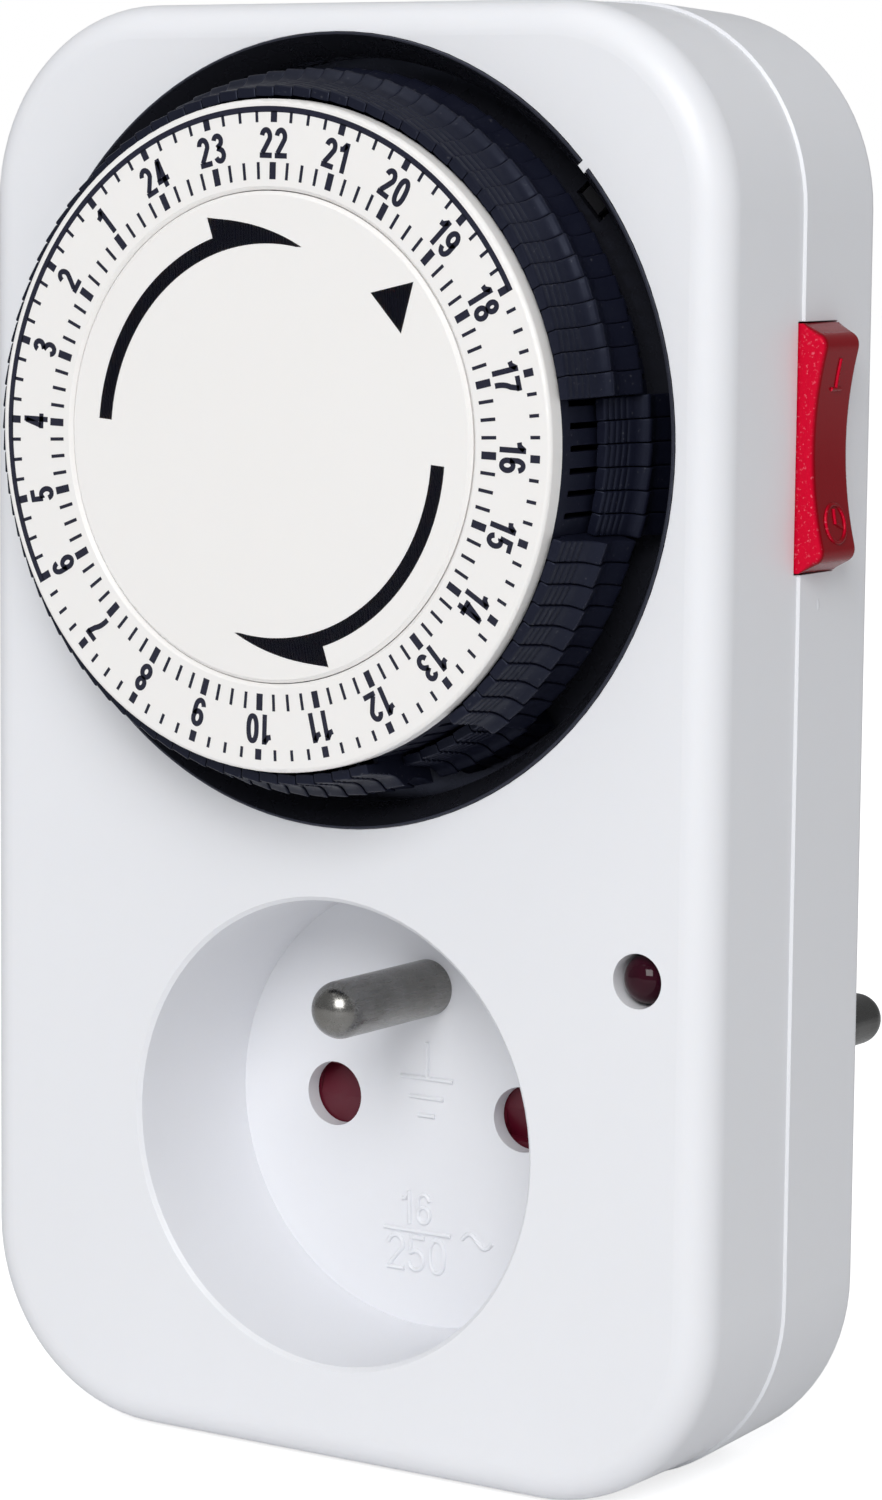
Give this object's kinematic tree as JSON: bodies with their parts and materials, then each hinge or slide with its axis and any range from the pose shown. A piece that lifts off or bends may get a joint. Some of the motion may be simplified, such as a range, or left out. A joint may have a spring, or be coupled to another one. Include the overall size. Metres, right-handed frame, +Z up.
{
  "type": "plug-in timer switch",
  "caption": "Plug-in mechanical 24-hour timer switch: a rotating dial ringed by push-in tappets above an earthed socket, with a side rocker, a lamp and a round plug at the back.",
  "frame": {"origin": "centre of the plug's end face, on the line of its two pins", "axes": "+Y out of the plug along its pins, to the back; -Y is the front that the user sees; +Z up towards the dial; +X to the user's right"},
  "size_m": [0.0742, 0.0843, 0.12],
  "materials": {
    "housing_plastic": "white moulded plastic, fine satin",
    "plug_plastic": "white moulded plastic, satin",
    "block_plastic": "off-white moulded plastic",
    "screw_steel": "zinc-plated steel",
    "nickel_plate": "nickel-plated brass, satin",
    "contact_brass": "stamped brass strip",
    "shutter_plastic": "maroon moulded plastic",
    "pin_steel": "drawn steel wire",
    "lens_plastic": "dark red translucent plastic",
    "lamp_glass": "clear glass",
    "resistor_body": "lacquered",
    "ring_plastic": "polished black plastic",
    "tappet_plastic": "black plastic, satin",
    "dial_plastic": "warm white plastic, satin",
    "frame_plastic": "natural acetal",
    "gear_plastic": "natural acetal",
    "motor_steel": "zinc-plated sheet steel",
    "coil_winding": "enamelled copper wire",
    "magnet": "ferrite magnet",
    "lever_plastic": "black glass-filled plastic",
    "rocker_plastic": "red plastic, textured sides"
  },
  "bodies": {
    "housing": {"front_shell": "housing_plastic", "rear_cover": "housing_plastic", "plug_body": "plug_plastic", "pin_block": "block_plastic", "housing_screws": "screw_steel", "plate_screws": "screw_steel", "live_pin": "nickel_plate", "neutral_pin": "nickel_plate", "socket_earth_pin": "nickel_plate", "earth_sleeve": "nickel_plate", "earth_clips": "nickel_plate", "live_clip": "contact_brass", "neutral_clip": "contact_brass", "neutral_bar": "contact_brass", "live_feed_bar": "contact_brass", "switched_bar": "contact_brass", "earth_strap": "contact_brass", "fixed_contact": "contact_brass", "shutter_pivot": "pin_steel", "shutter_spring": "pin_steel", "lever_pin": "pin_steel", "contact_arm_pin": "pin_steel", "bypass_pin": "pin_steel", "rocker_axle": "pin_steel", "transfer_axle": "pin_steel", "lamp_lens": "lens_plastic", "neon_lamp": "lamp_glass", "lamp_resistor": "resistor_body", "dial_surround": "ring_plastic", "centre_disc": "dial_plastic", "dial_post": "frame_plastic", "gear_plate": "frame_plastic", "motor_case": "motor_steel", "motor_cover": "motor_steel", "motor_coil": "coil_winding", "switch_base": "lever_plastic"},
    "dial": {"tappet_carrier": "tappet_plastic", "dial_ring": "dial_plastic"},
    "transfer": {"transfer_gear": "gear_plastic"},
    "motor_output": {"motor_pinion": "gear_plastic"},
    "rotor": {"motor_rotor": "magnet"},
    "lever": {"follower_lever": "lever_plastic"},
    "arm": {"contact_arm": "contact_brass"},
    "bypass": {"bypass_contact": "contact_brass"},
    "rocker": {"rocker_button": "rocker_plastic"},
    "shutter": {"socket_shutter": "shutter_plastic"},
    "block_0000_off": {"tappets_0000_off": "tappet_plastic"},
    "block_0400_off": {"tappets_0400_off": "tappet_plastic"},
    "block_0800_off": {"tappets_0800_off": "tappet_plastic"},
    "block_1130_on": {"tappets_1130_on": "tappet_plastic"},
    "block_1245_off": {"tappets_1245_off": "tappet_plastic"},
    "block_1515_on": {"tappets_1515_on": "tappet_plastic"},
    "block_1645_off": {"tappets_1645_off": "tappet_plastic"},
    "block_2000_off": {"tappets_2000_off": "tappet_plastic"}
  },
  "joints": [
    {"name": "dial_spin", "type": "hinge", "parent": "housing", "child": "dial", "pos_m": [0, -0.056, 0.0574], "axis": [0, 1, 0], "continuous": true},
    {"name": "transfer_spin", "type": "hinge", "parent": "housing", "child": "transfer", "pos_m": [-0.01434, -0.047, 0.03692], "axis": [0, 1, 0], "continuous": true},
    {"name": "motor_output_spin", "type": "hinge", "parent": "housing", "child": "motor_output", "pos_m": [-0.00596, -0.045, 0.04876], "axis": [0, 1, 0], "continuous": true},
    {"name": "rotor_spin", "type": "hinge", "parent": "housing", "child": "rotor", "pos_m": [0.002, -0.038, 0.06], "axis": [0, 1, 0], "continuous": true},
    {"name": "lever_swing", "type": "hinge", "parent": "housing", "child": "lever", "pos_m": [0.026, -0.0472, 0.061], "axis": [1, 0, 0], "range_deg": [-3.6, 0], "stiffness_Nm_per_rad": 0.0005, "springref_deg": 5.73},
    {"name": "arm_swing", "type": "hinge", "parent": "housing", "child": "arm", "pos_m": [0.026, -0.0455, 0.0586], "axis": [1, 0, 0], "range_deg": [-3.2, 0.2]},
    {"name": "rocker_tilt", "type": "hinge", "parent": "housing", "child": "rocker", "pos_m": [0.034, -0.04075, 0.0571], "axis": [0, 1, 0], "range_deg": [-5, 5]},
    {"name": "bypass_swing", "type": "hinge", "parent": "housing", "child": "bypass", "pos_m": [0.02905, -0.0407, 0.0486], "axis": [0, 1, 0], "range_deg": [-2.4, 2.4]},
    {"name": "shutter_turn", "type": "hinge", "parent": "housing", "child": "shutter", "pos_m": [0, -0.0391, 0], "axis": [0, 1, 0], "range_deg": [0, 40], "stiffness_Nm_per_rad": 0.0001, "springref_deg": -17.19},
    {"name": "push_0000_off", "type": "slide", "parent": "dial", "child": "block_0000_off", "axis": [0, 1, 0], "range_m": [0, 0.005]},
    {"name": "push_0400_off", "type": "slide", "parent": "dial", "child": "block_0400_off", "axis": [0, 1, 0], "range_m": [0, 0.005]},
    {"name": "push_0800_off", "type": "slide", "parent": "dial", "child": "block_0800_off", "axis": [0, 1, 0], "range_m": [0, 0.005]},
    {"name": "push_1130_on", "type": "slide", "parent": "dial", "child": "block_1130_on", "axis": [0, 1, 0], "range_m": [-0.005, 0]},
    {"name": "push_1245_off", "type": "slide", "parent": "dial", "child": "block_1245_off", "axis": [0, 1, 0], "range_m": [0, 0.005]},
    {"name": "push_1515_on", "type": "slide", "parent": "dial", "child": "block_1515_on", "axis": [0, 1, 0], "range_m": [-0.005, 0]},
    {"name": "push_1645_off", "type": "slide", "parent": "dial", "child": "block_1645_off", "axis": [0, 1, 0], "range_m": [0, 0.005]},
    {"name": "push_2000_off", "type": "slide", "parent": "dial", "child": "block_2000_off", "axis": [0, 1, 0], "range_m": [0, 0.005]}
  ],
  "couplings": [
    {"joint": "transfer_spin", "follows": "dial_spin", "ratio": -7.3333},
    {"joint": "motor_output_spin", "follows": "dial_spin", "ratio": 35.2},
    {"joint": "arm_swing", "follows": "lever_swing", "ratio": 0.844},
    {"joint": "bypass_swing", "follows": "rocker_tilt", "ratio": 0.37}
  ]
}
